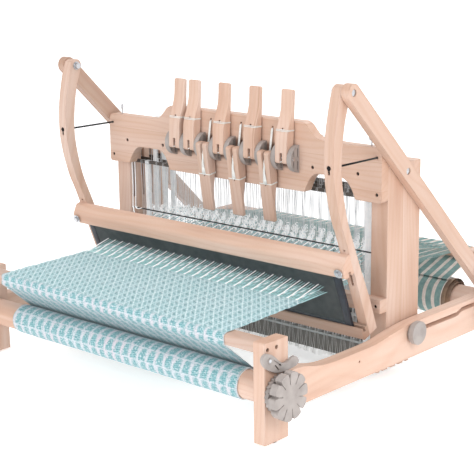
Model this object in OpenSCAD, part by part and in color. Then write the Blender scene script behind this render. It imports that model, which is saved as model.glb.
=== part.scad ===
// Eight-shaft folding table loom, dressed and part woven.
// Millimetres, +Z up, +X to the weaver's right, +Y to the back of the loom.

/* [Frame] */
// Outside width of the castle
castle_w = 690; // [688:1:692]
// Thickness of the side rails and posts
rail_t = 23.5; // [22:0.5:25]
// Height of the front and back posts
post_h = 172; // [168:1:174]
// Depth of each post, front to back
post_d = 58; // [56:1:60]
// Underside of the side rails above the post ends
rail_z = 44.5; // [42:0.5:46]
// Height of the foot pads
pad_h = 3; // [2:0.5:4]

/* [Castle] */
// Thickness of the castle boards
board_t = 20; // [18:0.5:20]
// Top of the front board between its shoulders
board_top = 464.7; // [462:0.1:466]
// Top of the front board's low shoulders
shoulder_z = 434.7; // [432:0.1:438]
// Width of each shaft groove
groove_w = 9.4; // [9.4:0.1:10]

/* [Levers] */
// Distance between neighbouring levers
lever_pitch = 38.9; // [38:0.1:39.5]
// Width of a lever
lever_w = 27.5; // [26:0.5:28.5]
// Length of a lever above its pivot
lever_len = 125; // [120:1:127]
// Angle a lever swings through from up to down
lever_swing = 191.4; // [185:0.1:191.4]

/* [Shafts] */
// Travel of a shaft
lift = 42; // [36:1:42]
// Underside of a lowered shaft
shaft_z = 28; // [26:1:30]
// Height of a shaft
shaft_h = 311; // [306:1:311]

/* [Cloth] */
// Half width of the woven cloth
cloth_hw = 285; // [270:1:290]
// Radius of the wound cloth
cloth_roll_r = 27.6; // [27:0.1:28]
// Radius of the wound warp
warp_roll_r = 41; // [38:0.5:42]

/* [Hidden] */

wood = [0.91, 0.77, 0.67];
grey = [0.70, 0.68, 0.66];
steel = [0.75, 0.76, 0.78];
black = [0.10, 0.10, 0.11];
teal = [0.45, 0.68, 0.69];
white = [0.93, 0.93, 0.92];

// the drawing below has its zero at the front face of the front board, on the centre line,
// at the lower ends of the posts; the finished loom is moved so that its base centre is the origin
off_x = -8;
off_y = -22.05;
half = castle_w / 2;
rail_in = half + 2;
rail_out = rail_in + rail_t;
y_front = -343.5;
y_fp = y_front + post_d;
y_back = 403;
y_bp = y_back - post_d;
rail_top = 109.5;
side_t = 20;
side_in = half - side_t;
rib_in = side_in - 15;
castle_d = 118.8;
beam_z = 152.5;
grooves = [33.5, 57.5, 81.5, 105.5];
down = [0, 0, 0, 1, 0, 1, 0, 1, 0];
lever_y = -17;
lever_z = 397;
lean_up = 3;
pivot = [-102.5, 543];
foot = [372, 83.7];
castle_bolt = [57.6, 388];
cloth_axis = [-313.6, 83.2];
warp_axis = [326, 84];
cloth_pawl_at = [-337.1, 143.8];
warp_pawl_at = [302.5, 144.6];
knob_at = [68, 92];
arm_in = half - 20;
lean = 21.1;
su = [sin(lean), -cos(lean)];
nf = [-cos(lean), -sin(lean)];
arm_q = [-97, 282];
// a point on the beater: s down along the arms' front faces, q forward of them
function bt(s, q) = [arm_q[0] + s * su[0] + q * nf[0], arm_q[1] + s * su[1] + q * nf[1]];

// a smooth run of points through hand-set ones
function cr(a, b, c, d, t) = 0.5 * (2 * b + (c - a) * t + (2 * a - 5 * b + 4 * c - d) * t * t + (3 * b - a - 3 * c + d) * t * t * t);
function at_or(p, i) = p[max(0, min(len(p) - 1, i))];
function smooth(p, n) = [for (i = [0 : len(p) - 2]) for (k = [0 : n - 1])
    cr(at_or(p, i - 1), p[i], p[i + 1], at_or(p, i + 2), k / n), p[len(p) - 1]];

module home() { translate([off_x, off_y, pad_h]) children(); }
// a flat shape drawn in (y, z), from x0 for a thickness t
module yz(x0, t) { translate([x0, 0, 0]) rotate([90, 0, 90]) linear_extrude(t) children(); }
module pair() { children(); mirror([1, 0, 0]) children(); }
function arc(c, r, a0, a1, n) = [for (k = [0 : n]) let (a = a0 + (a1 - a0) * k / n) c + r * [cos(a), sin(a)]];
function way(p, i) = let (d = p[min(len(p) - 1, i + 1)] - p[max(0, i - 1)]) d / norm(d);
function turn(p, i) = let (d = way(p, i)) atan2(d[1], d[0]);
// a slot of width w with round ends along a path
module channel(p, w, n = 12) {
  e = len(p) - 1;
  polygon(concat(
    arc(p[0], w / 2, turn(p, 0) + 90, turn(p, 0) + 270, n),
    e > 1 ? [for (i = [1 : e - 1]) p[i] + w / 2 * [way(p, i)[1], -way(p, i)[0]]] : [],
    arc(p[e], w / 2, turn(p, e) - 90, turn(p, e) + 90, n),
    e > 1 ? [for (i = [e - 1 : -1 : 1]) p[i] - w / 2 * [way(p, i)[1], -way(p, i)[0]]] : []));
}
module slot2(a, b, w, n = 12) { channel([a, b], w, n); }
module xrod(x0, x1, p, r, f = 32) { translate([x0, p[0], p[1]]) rotate([0, 90, 0]) cylinder(r = r, h = x1 - x0, $fn = f); }
// a straight round stretch between two points
module strand(a, b, r, f = 8) {
  d = b - a;
  translate(a) rotate([0, acos(d[2] / norm(d)), atan2(d[1], d[0])]) cylinder(r = r, h = norm(d), $fn = f);
}
module box2(x0, x1, y0, y1, z0, z1) { translate([x0, y0, z0]) cube([x1 - x0, y1 - y0, z1 - z0]); }

// ---- side frames
module rail_outline() {
  polygon(concat(smooth([[y_fp, 110.5], [-262, 111], [-240, 108.5], [-215, 102], [-188, 97.6], [-150, 95.8], [-100, 95.6],
      [-60, 96], [-36, 97.4], [-11, 101], [23, 105.5], [56, 108.3], [90, rail_top]], 3),
    [[y_bp, rail_top], [y_bp, rail_z], [y_fp, rail_z]]));
}
module brace_shape(w) { slot2(pivot, foot, w, 20); }
module side_rail() {
  color(wood) difference() {
    yz(rail_in, rail_t) difference() {
      rail_outline();
      channel([[knob_at[0], 92], [212, 91], [230, 97], [274, 97]], 8);
      translate([-92.5, 77]) circle(r = 2.2, $fn = 24);
    }
    yz(rail_in - 1, 9.6) brace_shape(32.6);
    xrod(rail_in - 1, rail_out + 1, warp_axis, 8.06, 48);
  }
}
module left_side_rail() { home() mirror([1, 0, 0]) side_rail(); }
module right_side_rail() { home() side_rail(); }

module post_block(y0) {
  yz(rail_in, rail_t) difference() {
    translate([y0, 0]) square([post_d, post_h]);
    // eased top corners
    for (e = [[y0, 1], [y0 + post_d, -1]]) translate([e[0], post_h]) rotate(45) square(2.4, center = true);
  }
}
module front_post() {
  color(wood) difference() {
    post_block(y_front);
    xrod(rail_in - 1, rail_out + 1, cloth_axis, 8.06, 48);
    for (y = [-335.6, -313.6]) xrod(rail_out - 9, rail_out + 1, [y, 160.4], 3.6, 24);
    xrod(rail_out - 12, rail_out + 1, cloth_pawl_at, 3, 24);
  }
}
module back_post() {
  color(wood) difference() {
    post_block(y_bp);
    yz(rail_in - 1, 9.6) brace_shape(32.6);
    for (y = [y_back - 29.9, y_back - 7.9]) xrod(rail_out - 9, rail_out + 1, [y, 160.4], 3.6, 24);
    xrod(rail_in + 2, rail_out + 1, foot, 3.5, 24);
  }
}
module left_front_post() { home() mirror([1, 0, 0]) front_post(); }
module right_front_post() { home() front_post(); }
module left_back_post() { home() mirror([1, 0, 0]) back_post(); }
module right_back_post() { home() back_post(); }

module beam_section(y0, y1) {
  // rounded where the cloth or warp turns over it
  translate([y0 + 3.5, beam_z]) square([y1 - y0 - 7, post_h - beam_z]);
  translate([y0, beam_z + 3.5]) square([y1 - y0, post_h - beam_z - 7]);
  for (y = [y0 + 3.5, y1 - 3.5], z = [beam_z + 3.5, post_h - 3.5]) translate([y, z]) circle(r = 3.5, $fn = 24);
}
module breast_beam() { home() color(wood) yz(-rail_in, 2 * rail_in) beam_section(y_front, y_front + 30.5); }
module back_beam() { home() color(wood) yz(-rail_in, 2 * rail_in) beam_section(y_back - 30.5, y_back); }

// ---- castle
ribs = [[20, grooves[0] - groove_w / 2], [grooves[0] + groove_w / 2, grooves[1] - groove_w / 2],
  [grooves[1] + groove_w / 2, grooves[2] - groove_w / 2], [grooves[2] + groove_w / 2, grooves[3] - groove_w / 2],
  [grooves[3] + groove_w / 2, castle_d]];
module castle_side() {
  color(wood) difference() {
    union() {
      box2(side_in, half, 20, castle_d, 48, 368);
      box2(side_in, half, 20, castle_d - 20, 367, 400);
      for (r = ribs) box2(rib_in, side_in + 1, r[0], r[1], 15, 366);
    }
    xrod(side_in - 1, half + 1, knob_at, 3.56, 32);
    xrod(side_in - 1, half + 1, castle_bolt, 4.0, 32);
  }
}
module castle_left_side() { home() mirror([1, 0, 0]) castle_side(); }
module castle_right_side() { home() castle_side(); }

module board_half() {
  polygon(concat(
    [[-1, 335.5], [172, 336.2]],
    smooth([[173.5, 338], [179, 351], [187, 364], [197, 371.5], [208, 373.4]], 4),
    smooth([[254, 373.4], [264, 371], [273, 364], [281, 353], [287.5, 339]], 4),
    [[289.5, 337], [341, 336.5], [half, 340], [half, 426.5], [342.5, 432], [337, shoulder_z]],
    smooth([[222, shoulder_z], [206, 436.6], [196, 441.5], [187, 450], [178, 459.5], [168, board_top]], 4),
    [[-1, board_top]]));
}
module castle_front_board() {
  home() color(wood) difference() {
    translate([0, board_t, 0]) rotate([90, 0, 0]) linear_extrude(board_t) union() { board_half(); mirror([1, 0]) board_half(); }
    pair() {
      for (p = [[293.5, 384], [335, 351], [191.4, 383.6]])
        translate([p[0], -1, p[1]]) rotate([-90, 0, 0]) cylinder(r = 3.3, h = 6, $fn = 24);
      translate([335, -1, 417.3]) rotate([-90, 0, 0]) cylinder(r = 2.3, h = 13, $fn = 24);
    }
    for (i = [1 : 8]) translate([lever_x(i), -1, 448.5]) rotate([-90, 0, 0]) cylinder(r = 2.2, h = board_t + 2, $fn = 24);
  }
}
module castle_back_board() {
  home() color(wood) difference() {
    box2(-half, half, castle_d - 20, castle_d, 368, 400);
    // thinned between the sides, where the back shafts rise in front of it
    box2(-side_in, side_in, castle_d - 21, 110.6, 367, 401);
  }
}
module castle_front_rail() {
  home() color(wood) difference() {
    box2(-half, half, 0, 20, 136, 161);
    pair() translate([335, -1, 148]) rotate([-90, 0, 0]) cylinder(r = 3.3, h = 7, $fn = 24);
  }
}
module castle_back_rail() { home() color(wood) box2(-rib_in, rib_in, 111, castle_d, 136, 161); }

module brace() {
  color(wood) difference() {
    yz(half + 0.6, 16) brace_shape(31);
    // the lower end is halved where it lies in the post
    translate([half + 9, 0, 0]) rotate([90, 0, 90]) linear_extrude(20)
      translate(foot) rotate(atan2(pivot[1] - foot[1], pivot[0] - foot[0])) translate([-40, -25]) square([96, 50]);
    xrod(half, half + 20, pivot, 4.0, 32);
    xrod(half + 12.6, half + 20, pivot, 6.2, 32);
    xrod(half, half + 20, castle_bolt, 4.0, 32);
    xrod(half + 12.6, half + 20, castle_bolt, 6.2, 32);
    xrod(half, half + 20, foot, 3.5, 32);
  }
}
module left_brace() { home() mirror([1, 0, 0]) brace(); }
module right_brace() { home() difference() { brace(); xrod(352, half + 18, warp_pawl_at, 3, 24); } }

// ---- beater
arm_front = [[-113.5, 552], [-120, 534], [-126.6, 508], [-132, 480], [-135.2, 455], [-136, 427], [-133.8, 397], [-127, 363], [-114.5, 322], [-106.2, 304]];
arm_rear = [[-29.5, 170], [-44.5, 204], [-58.5, 234], [-73.5, 269], [-90.5, 309], [-99.5, 335], [-107.5, 368], [-112.5, 398], [-113.6, 425], [-111.3, 457], [-105.5, 492], [-97, 520], [-92, 535]];
module arm_shape() {
  polygon(concat(smooth(arm_front, 4), [arm_q, bt(190, 0), bt(190, -22)], smooth(arm_rear, 4)));
  translate(pivot) circle(r = 12.6, $fn = 48);
}
module beater_arm() {
  color(wood) difference() {
    yz(arm_in, 20) arm_shape();
    xrod(arm_in - 1, half + 1, pivot, 4.06, 48);
    // keyhole for the elastic cord, with its bore through to the back
    translate([arm_in + 10, -150, 417.6]) rotate([-90, 0, 0]) cylinder(r = 2.4, h = 60, $fn = 24);
    translate([arm_in + 10, -140, 418.6]) rotate([-90, 0, 0]) cylinder(r = 4.3, h = 12, $fn = 24);
    box2(arm_in + 8, arm_in + 12, -140, -128, 407, 418);
    // bolt holes of the top rail, a spare hole and the height slot under it
    translate([arm_in + 10, arm_q[0], arm_q[1]]) rotate([lean, 0, 0]) {
      translate([0, -5, -43]) rotate([-90, 0, 0]) cylinder(r = 3.2, h = 40, $fn = 24);
      translate([0, -5, -14]) rotate([-90, 0, 0]) cylinder(r = 2.2, h = 16, $fn = 24);
      translate([-2.5, -1, -86]) cube([5, 11, 22]);
      translate([0, -5, -178]) rotate([-90, 0, 0]) cylinder(r = 3.2, h = 40, $fn = 24);
    }
  }
}
module left_beater_arm() { home() mirror([1, 0, 0]) beater_arm(); }
module right_beater_arm() { home() beater_arm(); }
module beater_top_rail() {
  home() color(wood) difference() {
    yz(-half, 2 * half) difference() {
      polygon([bt(20.5, 0), bt(19.9, 10), bt(22, 13), bt(32.1, 23.2), bt(36, 25.2), bt(50, 28.2), bt(52.5, 27), bt(57, 22), bt(57.5, 0)]);
      polygon([bt(49, 7.8), bt(49, 14.2), bt(70, 14.2), bt(70, 7.8)]);
    }
    for (m = [-1, 1]) translate([m * (half - 10), arm_q[0], arm_q[1]]) rotate([lean, 0, 0])
      translate([0, -40, -43]) rotate([-90, 0, 0]) cylinder(r = 3.2, h = 60, $fn = 24);
  }
}
module beater_bottom_rail() {
  home() color(wood) yz(-half, 2 * half) difference() {
    polygon([bt(168.5, 0), bt(167, 1.5), bt(167, 16.3), bt(168.5, 17.8), bt(188.5, 17.8), bt(190, 16.3), bt(190, 1.5), bt(188.5, 0)]);
    polygon([bt(175.2, 7.8), bt(175.2, 14.2), bt(160, 14.2), bt(160, 7.8)]);
    polygon([bt(168.6, 3.2), bt(168.6, 5.2), bt(160, 5.2), bt(160, 3.2)]);
  }
}
module reed() {
  home() color([0.2, 0.21, 0.23]) {
    // top and bottom ribs, end bands and the dents between them
    yz(-321, 642) polygon([bt(49.2, 8), bt(49.2, 14), bt(64, 14), bt(64, 8)]);
    yz(-321, 642) polygon([bt(160, 8), bt(160, 14), bt(175, 14), bt(175, 8)]);
    for (x = [-321, 307]) yz(x, 14) polygon([bt(63.9, 8.6), bt(63.9, 13.4), bt(160.1, 13.4), bt(160.1, 8.6)]);
    yz(-308, 616) polygon([bt(63.9, 10), bt(63.9, 12), bt(160.1, 12), bt(160.1, 10)]);
  }
}

// ---- levers
function lever_x(i) = (i - 4.5) * lever_pitch;
module bracket_shape() {
  difference() {
    intersection() {
      translate([1.5, 396]) circle(r = 25.7, $fn = 64);
      translate([-60, 340]) square([60, 120]);
    }
    translate([lever_y, lever_z]) circle(r = 3.0, $fn = 32);
  }
}
module lever_brackets() {
  home() color(grey) for (k = [0 : 8]) translate([(k - 4) * lever_pitch, 0, 0]) difference() {
    yz(-5.2, 10.4) bracket_shape();
    // grooves up both faces, stopped at the axle
    for (g = [[-17.3, -14.7, 380.5, 392], [-17.3, -14.7, 402, 411.5], [-6.4, -3.6, 375.5, 392.5], [-6.4, -3.6, 400.5, 416.5]], x = [-5.6, 2.6])
      box2(x, x + 3, g[0], g[1], g[2], g[3]);
  }
}
module lever_axle() { home() color(steel) xrod(-4 * lever_pitch - 6.5, 4 * lever_pitch + 6.5, [lever_y, lever_z], 3.0); }
// drawn upright with the pivot at zero; +y is the flat side that leans on the board when it is up
module lever_shape() {
  polygon(concat([[12, -6.5], [12, lever_len - 1.6], [10.6, lever_len], [7.8, lever_len]],
    smooth([[6.4, lever_len - 1.6], [6.5, 104], [6.1, 93], [4.9, 84], [2.9, 76], [0.6, 68], [-2.0, 60], [-4.6, 52], [-6.7, 44], [-7.6, 36]], 2),
    [[-7.3, 20], [-6.6, -6], [-5, -9], [-2, -10.2], [7.5, -10.2], [10.4, -9]]));
}
module lever(i) {
  home() color(wood) translate([lever_x(i), lever_y, lever_z]) rotate([down[i] * lever_swing - lean_up, 0, 0])
    difference() {
      yz(-lever_w / 2, lever_w) lever_shape();
      xrod(-20, 20, [0, 0], 3.06, 32);
      // slot through the pivot end, the cord groove up the flat side and the hole of the tie
      box2(-3, 3, -9, 14, -12, 9.5);
      box2(-3, 3, 9.6, 14, 9, 50);
      translate([0, 0, 53.5]) rotate([-90, 0, 0]) translate([0, 0, -10]) cylinder(r = 2, h = 24, $fn = 24);
      for (m = [-1, 1]) translate([m * lever_w / 2, 0, lever_len]) rotate([0, 45, 0]) cube([3, 40, 3], center = true);
    }
}
module lever_1() { lever(1); }
module lever_2() { lever(2); }
module lever_3() { lever(3); }
module lever_4() { lever(4); }
module lever_5() { lever(5); }
module lever_6() { lever(6); }
module lever_7() { lever(7); }
module lever_8() { lever(8); }

// ---- shafts: side sticks in the grooves, cords from them to the top bar, a deep bottom bar and the curtain of heddles
function shaft_y(i) = grooves[floor((i - 1) / 2)] + (i % 2 == 1 ? -2.35 : 2.35);
cord_x = rib_in + 7;
module shaft(i) {
  y = shaft_y(i);
  home() translate([0, 0, shaft_z + down[i] * lift]) {
    color(wood) pair() box2(rib_in + 1, rib_in + 13, y - 2.1, y + 2.1, 0, 230);
    color(black) box2(-rib_in - 9.5, rib_in + 9.5, y - 1.5, y + 1.5, shaft_h - 6, shaft_h);
    color(black) box2(-rib_in - 1.2, rib_in + 1.2, y - 1, y + 1, 0.5, 31);
    color(steel) box2(-rib_in - 1.2, rib_in + 1.2, y - 1.5, y + 1.5, 30.9, 36);
    color(white) box2(-290, 290, y - 0.6, y + 0.6, 35.9, shaft_h - 5.9);
    color(white) pair() translate([cord_x, y, 229.9]) cylinder(r = 1.1, h = shaft_h - 235.8, $fn = 16);
  }
}
module shaft_1() { shaft(1); }
module shaft_2() { shaft(2); }
module shaft_3() { shaft(3); }
module shaft_4() { shaft(4); }
module shaft_5() { shaft(5); }
module shaft_6() { shaft(6); }
module shaft_7() { shaft(7); }
module shaft_8() { shaft(8); }
module heddle_rod() { home() color(black) xrod(-rib_in, rib_in, [24.2, 238], 1.3, 24); }

// ---- beams, hand wheels and pawls
module roller(p, end_x, r) {
  color(wood) {
    xrod(-half + 0.5, half - 0.5, p, r, 64);
    xrod(-rail_out - 1.2, end_x, p, 8, 48);
  }
}
module cloth_beam() { home() roller(cloth_axis, 383, 24.4); }
module warp_beam() { home() roller(warp_axis, 383, 28); }
teeth = 24;
module ratchet_shape(phase) {
  polygon([for (k = [0 : teeth - 1]) for (e = [[0, 29], [0.96, 33]])
    let (a = phase + (k + e[0]) * 360 / teeth) [e[1] * cos(a), e[1] * sin(a)]]);
}
// ten broad lobes with narrow gaps
module lobes() {
  polygon([for (k = [0 : 9]) for (e = [[-1.2, 31.5], [1.2, 31.5], [4.2, 38.9], [6.2, 40.5], [12, 40.9], [18, 41], [24, 40.9], [29.8, 40.5], [31.8, 38.9]])
    let (a = 23.5 + 36 * k + e[0]) [e[1] * cos(a), e[1] * sin(a)]]);
}
module hand_wheel(p, phase) {
  color(grey) difference() {
    union() {
      translate([0, p[0], p[1]]) {
        yz(371.6, 7.4) ratchet_shape(phase);
        yz(387.3, 13.7) lobes();
      }
      xrod(371.3, 388, p, 17, 48);
    }
    xrod(370, 383, p, 8, 48);
    translate([0, p[0], p[1]]) for (k = [0 : 9]) rotate([k * 36 + 5.5, 0, 0]) box2(399.8, 402, -0.8, 0.8, 21, 32.5);
  }
}
pawl_dir = 63;
module cloth_hand_wheel() { home() hand_wheel(cloth_axis, pawl_dir - 2.6); }
module warp_hand_wheel() { home() hand_wheel(warp_axis, pawl_dir - 2.6); }
// a broad body with a thumb piece; its tooth drops into the ratchet
pawl_outline = [[-30.6, 74.3], [-37.3, 72.1], [-41.3, 66.8], [-39.4, 58.9], [-31.7, 49.9], [-21.6, 43], [-10.7, 38], [0, 35.4], [8, 34.8],
  [20.2, 34.4], [32.4, 34.9], [43, 37], [48.6, 42], [46.2, 48.7], [39.5, 53.3], [31.6, 52.3], [20.3, 48], [9.1, 48.9], [-1.2, 55.3],
  [-9.6, 62.9], [-18.9, 69.9], [-30.6, 74.3]];
module pawl(p, piv) {
  color(grey) difference() {
    union() {
      yz(371.2, 5.3) {
        translate(p) polygon(smooth(pawl_outline, 3));
        translate(p) rotate(pawl_dir) translate([30.3, -0.4]) square([9, 1.7]);
      }
      xrod(376.5, 377.6, piv, 5.2, 24);
    }
    yz(370, 12) {
      slot2(piv + [12.9, -10.5], piv + [21.4, -20], 2.2, 6);
      slot2(piv + [24.6, -12.2], piv + [26.4, -13.6], 3.4, 6);
    }
    yz(375.1, 3) slot2(piv + [9.6, -1.6], piv + [24.6, -12.2], 2.2, 6);
    xrod(370, 379, piv, 3.06, 32);
  }
}
module cloth_pawl() { home() pawl(cloth_axis, cloth_pawl_at); }
module warp_pawl() { home() pawl(warp_axis, warp_pawl_at); }
module clamp_knob() {
  color(grey) {
    xrod(rail_out + 1.2, rail_out + 5.5, knob_at, 18.5, 64);
    xrod(rail_out + 5.4, rail_out + 14.5, knob_at, 21.5, 64);
    xrod(half - 10, rail_out + 2, knob_at, 3.5, 32);
  }
}
module left_clamp_knob() { home() mirror([1, 0, 0]) clamp_knob(); }
module right_clamp_knob() { home() clamp_knob(); }

// ---- cords
module elastic_cords() {
  home() color(black) pair() {
    translate([arm_in + 10, -130, 417.6]) rotate([-90, 0, 0]) cylinder(r = 1.9, h = 138, $fn = 16);
    translate([arm_in + 10, -131.5, 418.4]) sphere(r = 3.4, $fn = 16);
  }
}
// round the lever at its tie, and from there to the board
module lever_cords() {
  home() color(white) for (i = [1 : 8]) {
    x = lever_x(i);
    translate([x, lever_y, lever_z]) rotate([down[i] * lever_swing - lean_up, 0, 0]) {
      difference() {
        box2(-lever_w / 2 - 1.4, lever_w / 2 + 1.4, -7, 13.4, 48.5, 50);
        box2(-lever_w / 2 - 0.3, lever_w / 2 + 0.3, -6, 12.3, 48, 51);
      }
      if (down[i] == 1) box2(-2.2, 2.2, 10.2, 11.2, 12, 47.9);
    }
    strand([x, 19, 448.5], [x, down[i] == 1 ? 0.4 : -0.2, 448.3], 1.2);
    if (down[i] == 1) {
      strand([x, 0.5, 448.2], [x, -1.8, 446.6], 1);
      strand([x, -1.8, 446.6], [x, -9.4, 405], 1);
    }
  }
}
// behind the board each cord turns to both ends of its shaft
module lift_cords() {
  home() color(white) for (i = [1 : 8]) {
    y = shaft_y(i);
    h = [lever_x(i), 21.6, 448.3];
    top = shaft_z + shaft_h + down[i] * lift + 0.5;
    for (m = [-1, 1]) {
      b = [m * 302, 24 + 1.1 * i, 424];
      e = [m * cord_x, y, 402];
      strand(h, b, 0.8);
      strand(b, e, 0.8);
      translate([e[0], y, top]) cylinder(r = 1.1, h = e[2] - top, $fn = 16);
    }
  }
}

// ---- warp and cloth
module ribbon(path, t) {
  // a thin closed strip along a path of (y, z) points, t thick on its left side
  n = len(path);
  function dir(i) = let (d = path[min(n - 1, i + 1)] - path[max(0, i - 1)]) d / norm(d);
  polygon(concat(path, [for (i = [n - 1 : -1 : 0]) path[i] + t * [-dir(i)[1], dir(i)[0]]]));
}
module warp() {
  home() color(teal) {
    yz(-cloth_hw, 2 * cloth_hw) polygon([[-136.4, 177.4], [-136.4, 178.4], [-77, 179.6], [-77, 178.6]]);
    yz(-cloth_hw, 2 * cloth_hw) polygon([[-60, 179.4], [-60, 180.4], [28, 184.4], [28, 183.4]]);
    yz(-cloth_hw, 2 * cloth_hw) polygon(concat([[112, 185], [372, 174.2]],
      arc([399.5, 168.5], 4.9, 88, 0, 6), arc([399.5, 156], 4.9, 0, -65, 5), [[310, 121.4], [310, 122.5]],
      arc([399.5, 156], 3.9, -65, 0, 5), arc([399.5, 168.5], 3.9, 0, 88, 6), [[372, 173.2], [112, 184]]));
  }
}
cloth_path = [[-136.5, 177.2], [-180, 176.2], [-240, 174.9], [-312, 173.6], [-339, 172.6], [-342.4, 171.8], [-343.9, 169], [-344.1, 155.5], [-343.2, 152.9], [-340, 150.7], [-293, 103.9]];
module woven_cloth() { home() color(teal) yz(-cloth_hw, 2 * cloth_hw) ribbon([for (i = [len(cloth_path) - 1 : -1 : 0]) cloth_path[i]], 1.2); }
module wound(p, r, hole, x0, x1) { color(teal) difference() { xrod(x0, x1, p, r, 96); xrod(x0 - 1, x1 + 1, p, hole, 64); } }
module cloth_roll() { home() wound(cloth_axis, cloth_roll_r, 24.4, 24 - cloth_hw - 4, 24 + cloth_hw + 1); }
module warp_roll() {
  home() {
    wound(warp_axis, warp_roll_r - 2, 28, -cloth_hw - 3, cloth_hw + 3);
    wound(warp_axis, warp_roll_r - 3, 28, -cloth_hw - 22, cloth_hw + 22);
  }
}

// ---- fasteners
module screw_x(x0, x1, p) {
  difference() {
    xrod(x0, x1, p, 3.6, 24);
    xrod(max(x0, x1) - 1.4, max(x0, x1) + 1, p, 1.6, 6);
  }
}
module screws() {
  home() color(steel) {
    pair() {
      for (y = [-335.6, -313.6]) screw_x(rail_out - 9, rail_out - 4, [y, 160.4]);
      for (y = [y_back - 29.9, y_back - 7.9]) screw_x(rail_out - 9, rail_out - 4, [y, 160.4]);
      for (p = [[293.5, 384], [335, 351], [191.4, 383.6]])
        translate([p[0], 2.5, p[1]]) rotate([-90, 0, 0]) cylinder(r = 3.3, h = 2.5, $fn = 24);
      translate([335, 3, 148]) rotate([-90, 0, 0]) cylinder(r = 3.3, h = 3, $fn = 24);
      xrod(rail_in + 9.6, rail_out + 1.5, foot, 3.5, 24);
      xrod(rail_out, rail_out + 1.5, foot, 6.5, 24);
    }
    xrod(rail_out - 12, 377.6, cloth_pawl_at, 3.0, 32);
    xrod(352.5, 377.6, warp_pawl_at, 3.0, 32);
  }
}
module brace_bolts() {
  home() color(steel) pair() {
    xrod(arm_in - 5.5, half + 14.5, pivot, 4.0, 32);
    xrod(half + 12.6, half + 14.8, pivot, 6.0, 32);
    xrod(arm_in - 1.8, arm_in - 0.4, pivot, 8, 32);
    xrod(arm_in - 7, arm_in - 1.8, pivot, 6.4, 6);
    xrod(side_in - 2, half + 14.5, castle_bolt, 4.0, 32);
    xrod(half + 12.6, half + 14.8, castle_bolt, 6.0, 32);
    xrod(side_in - 5, side_in, castle_bolt, 6.4, 6);
  }
}
module beater_bolts() {
  home() color(steel) for (m = [-1, 1]) translate([m * (half - 10), arm_q[0], arm_q[1]]) rotate([lean, 0, 0]) {
    translate([0, -30, -43]) rotate([-90, 0, 0]) cylinder(r = 3.2, h = 53, $fn = 24);
    translate([0, -29.7, -43]) rotate([-90, 0, 0]) cylinder(r = 8.5, h = 1.4, $fn = 48);
    translate([0, -33.6, -43]) rotate([-90, 0, 0]) cylinder(r = 5, h = 4, $fn = 6);
  }
}
module eye_hooks() {
  home() color(steel) pair() translate([316, 10, shoulder_z]) {
    cylinder(r = 1.4, h = 11, $fn = 24);
    translate([0, 0, 15]) rotate([90, 0, 60]) rotate_extrude($fn = 32) translate([4.6, 0]) circle(r = 1.3, $fn = 16);
  }
}
module foot_pads() {
  translate([off_x, off_y, 0]) color(black) pair()
    for (y = [y_front + post_d / 2, y_back - post_d / 2]) translate([rail_in + rail_t / 2, y, 0]) cylinder(r = 9, h = pad_h, $fn = 48);
}

left_side_rail();
right_side_rail();
left_front_post();
right_front_post();
left_back_post();
right_back_post();
breast_beam();
back_beam();
castle_left_side();
castle_right_side();
castle_front_board();
castle_back_board();
castle_front_rail();
castle_back_rail();
left_brace();
right_brace();
left_beater_arm();
right_beater_arm();
beater_top_rail();
beater_bottom_rail();
reed();
lever_brackets();
lever_axle();
lever_1();
lever_2();
lever_3();
lever_4();
lever_5();
lever_6();
lever_7();
lever_8();
shaft_1();
shaft_2();
shaft_3();
shaft_4();
shaft_5();
shaft_6();
shaft_7();
shaft_8();
cloth_beam();
warp_beam();
cloth_hand_wheel();
warp_hand_wheel();
cloth_pawl();
warp_pawl();
left_clamp_knob();
right_clamp_knob();
heddle_rod();
elastic_cords();
lever_cords();
lift_cords();
warp();
woven_cloth();
cloth_roll();
warp_roll();
screws();
brace_bolts();
beater_bolts();
eye_hooks();
foot_pads();
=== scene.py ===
import math
import random

import bpy
import numpy as np
from mathutils import Matrix, Vector


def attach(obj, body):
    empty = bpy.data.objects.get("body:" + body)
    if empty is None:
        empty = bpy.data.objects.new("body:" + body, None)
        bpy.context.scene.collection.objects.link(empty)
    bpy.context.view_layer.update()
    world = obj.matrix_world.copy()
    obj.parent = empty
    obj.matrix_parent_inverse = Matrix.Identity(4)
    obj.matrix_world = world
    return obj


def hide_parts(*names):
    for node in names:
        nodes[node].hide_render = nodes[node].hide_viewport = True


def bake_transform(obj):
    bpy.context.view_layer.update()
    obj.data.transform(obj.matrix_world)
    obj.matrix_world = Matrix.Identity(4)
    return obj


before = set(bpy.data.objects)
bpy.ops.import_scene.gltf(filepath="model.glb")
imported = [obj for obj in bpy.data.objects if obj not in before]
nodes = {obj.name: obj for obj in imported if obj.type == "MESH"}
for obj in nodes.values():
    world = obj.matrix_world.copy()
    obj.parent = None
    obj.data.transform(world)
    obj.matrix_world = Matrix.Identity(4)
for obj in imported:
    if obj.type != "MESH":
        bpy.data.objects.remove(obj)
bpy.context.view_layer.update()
rng = random.Random(20)
nrng = np.random.default_rng(20)


# ---------------------------------------------------------------- places
# The drawing's own millimetres: x from the centre line to the weaver's right, y back from the
# castle board's front face, z up from the posts' lower ends.
def L(x, y, z):
    return Vector(((x - 8.0) / 1000, (y - 22.05) / 1000, (z + 3.0) / 1000))


LEAN = math.radians(21.1)
SU = (math.sin(LEAN), -math.cos(LEAN))
NF = (-math.cos(LEAN), -math.sin(LEAN))


def bt(s, q):
    """A point (y, z) on the beater: s down along the arms' front faces, q forward of them."""
    return (-97 + s * SU[0] + q * NF[0], 282 + s * SU[1] + q * NF[1])


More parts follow.
